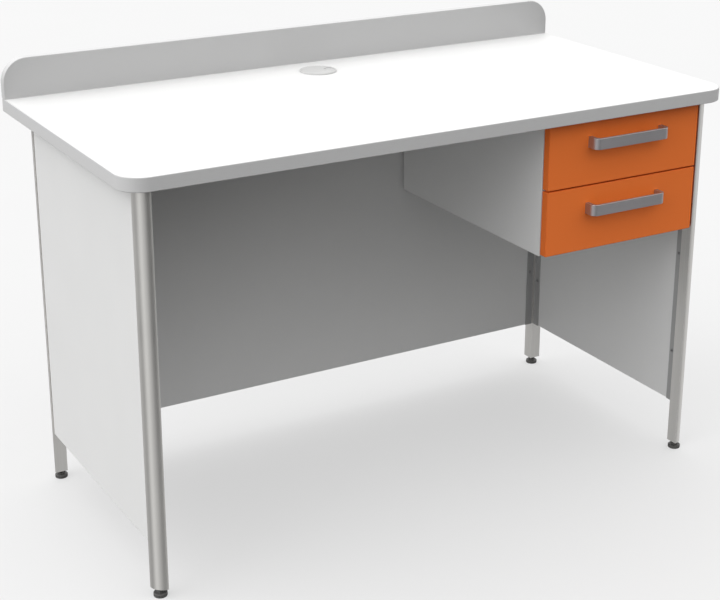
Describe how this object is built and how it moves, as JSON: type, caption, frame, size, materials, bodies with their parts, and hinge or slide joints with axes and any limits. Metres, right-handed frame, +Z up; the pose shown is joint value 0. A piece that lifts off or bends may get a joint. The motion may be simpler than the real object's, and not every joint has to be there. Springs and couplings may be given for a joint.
{
  "type": "laboratory table",
  "caption": "Free-standing laboratory table with white laminated top, rear upstand, cable grommet, side and modesty panels, quarter-round legs and a hung pedestal of orange drawers.",
  "frame": {"origin": "on the floor, under the middle of the overall length and depth", "axes": "+X to the sitter's right along the top, +Y to the rear upstand, +Z up"},
  "size_m": [1.2, 0.5976, 0.8185],
  "materials": {
    "white_laminate": "white melamine-faced chipboard, fine satin grain",
    "white_edging": "light grey plastic edge band, satin",
    "white_hardboard": "thin hardboard, painted white on its shown face",
    "orange_laminate": "orange melamine-faced chipboard, satin",
    "box_board": "white melamine-faced board, cut edges banded",
    "leg_aluminium": "satin anodised extrusion",
    "angle_metal": "grey powder coat on bent steel angle",
    "handle_metal": "satin nickel-grey bar",
    "foot_plastic": "dark grey moulded plastic",
    "grommet_plastic": "white moulded plastic",
    "zinc_steel": "bright zinc-plated steel"
  },
  "bodies": {
    "table": {"tabletop": "white_laminate", "rear_upstand": "white_laminate", "left_side_panel": "white_laminate", "right_side_panel": "white_laminate", "modesty_panel": "white_laminate", "pedestal_left_side": "white_laminate", "pedestal_right_side": "white_laminate", "pedestal_bottom": "white_laminate", "pedestal_front_rail": "white_laminate", "pedestal_rear_rail": "white_laminate", "tabletop_edge_band": "white_edging", "pedestal_back": "white_hardboard", "front_left_leg": "leg_aluminium", "front_right_leg": "leg_aluminium", "rear_left_leg": "leg_aluminium", "rear_right_leg": "leg_aluminium", "top_brackets": "angle_metal", "front_left_angle": "angle_metal", "front_right_angle": "angle_metal", "rear_left_side_angle": "angle_metal", "rear_right_side_angle": "angle_metal", "rear_left_back_angle": "angle_metal", "rear_right_back_angle": "angle_metal", "leg_inserts": "foot_plastic", "grommet_sleeve": "grommet_plastic", "angle_screws": "zinc_steel", "upstand_screws": "zinc_steel", "pedestal_screws": "zinc_steel", "upper_left_slide_outer": "zinc_steel", "upper_right_slide_outer": "zinc_steel", "lower_left_slide_outer": "zinc_steel", "lower_right_slide_outer": "zinc_steel"},
    "grommet_cap": {"grommet_cap": "grommet_plastic"},
    "front_left_foot": {"front_left_foot": "foot_plastic"},
    "front_right_foot": {"front_right_foot": "foot_plastic"},
    "rear_left_foot": {"rear_left_foot": "foot_plastic"},
    "rear_right_foot": {"rear_right_foot": "foot_plastic"},
    "upper_drawer": {"upper_drawer_front": "orange_laminate", "upper_drawer_left_side": "box_board", "upper_drawer_right_side": "box_board", "upper_drawer_back": "box_board", "upper_drawer_bottom": "white_hardboard", "upper_handle": "handle_metal", "upper_handle_screws": "zinc_steel", "upper_left_slide_inner": "zinc_steel", "upper_right_slide_inner": "zinc_steel"},
    "upper_slide_middles": {"upper_left_slide_middle": "zinc_steel", "upper_right_slide_middle": "zinc_steel"},
    "lower_drawer": {"lower_drawer_front": "orange_laminate", "lower_drawer_left_side": "box_board", "lower_drawer_right_side": "box_board", "lower_drawer_back": "box_board", "lower_drawer_bottom": "white_hardboard", "lower_handle": "handle_metal", "lower_handle_screws": "zinc_steel", "lower_left_slide_inner": "zinc_steel", "lower_right_slide_inner": "zinc_steel"},
    "lower_slide_middles": {"lower_left_slide_middle": "zinc_steel", "lower_right_slide_middle": "zinc_steel"}
  },
  "joints": [
    {"name": "upper_drawer_slide", "type": "slide", "parent": "table", "child": "upper_drawer", "axis": [0, -1, 0], "range_m": [0, 0.38]},
    {"name": "upper_middle_slide", "type": "slide", "parent": "table", "child": "upper_slide_middles", "axis": [0, -1, 0], "range_m": [0, 0.19]},
    {"name": "lower_drawer_slide", "type": "slide", "parent": "table", "child": "lower_drawer", "axis": [0, -1, 0], "range_m": [0, 0.38]},
    {"name": "lower_middle_slide", "type": "slide", "parent": "table", "child": "lower_slide_middles", "axis": [0, -1, 0], "range_m": [0, 0.19]},
    {"name": "grommet_cap_turn", "type": "hinge", "parent": "table", "child": "grommet_cap", "pos_m": [0, 0.20475, 0.7465], "axis": [0, 0, 1], "continuous": true},
    {"name": "front_left_foot_turn", "type": "hinge", "parent": "table", "child": "front_left_foot", "pos_m": [-0.559, -0.25975, 0.025], "axis": [0, 0, 1], "continuous": true},
    {"name": "front_right_foot_turn", "type": "hinge", "parent": "table", "child": "front_right_foot", "pos_m": [0.559, -0.25975, 0.025], "axis": [0, 0, 1], "continuous": true},
    {"name": "rear_left_foot_turn", "type": "hinge", "parent": "table", "child": "rear_left_foot", "pos_m": [-0.559, 0.23125, 0.025], "axis": [0, 0, 1], "continuous": true},
    {"name": "rear_right_foot_turn", "type": "hinge", "parent": "table", "child": "rear_right_foot", "pos_m": [0.559, 0.23125, 0.025], "axis": [0, 0, 1], "continuous": true}
  ],
  "couplings": [
    {"joint": "upper_middle_slide", "follows": "upper_drawer_slide", "ratio": 0.5},
    {"joint": "lower_middle_slide", "follows": "lower_drawer_slide", "ratio": 0.5}
  ]
}
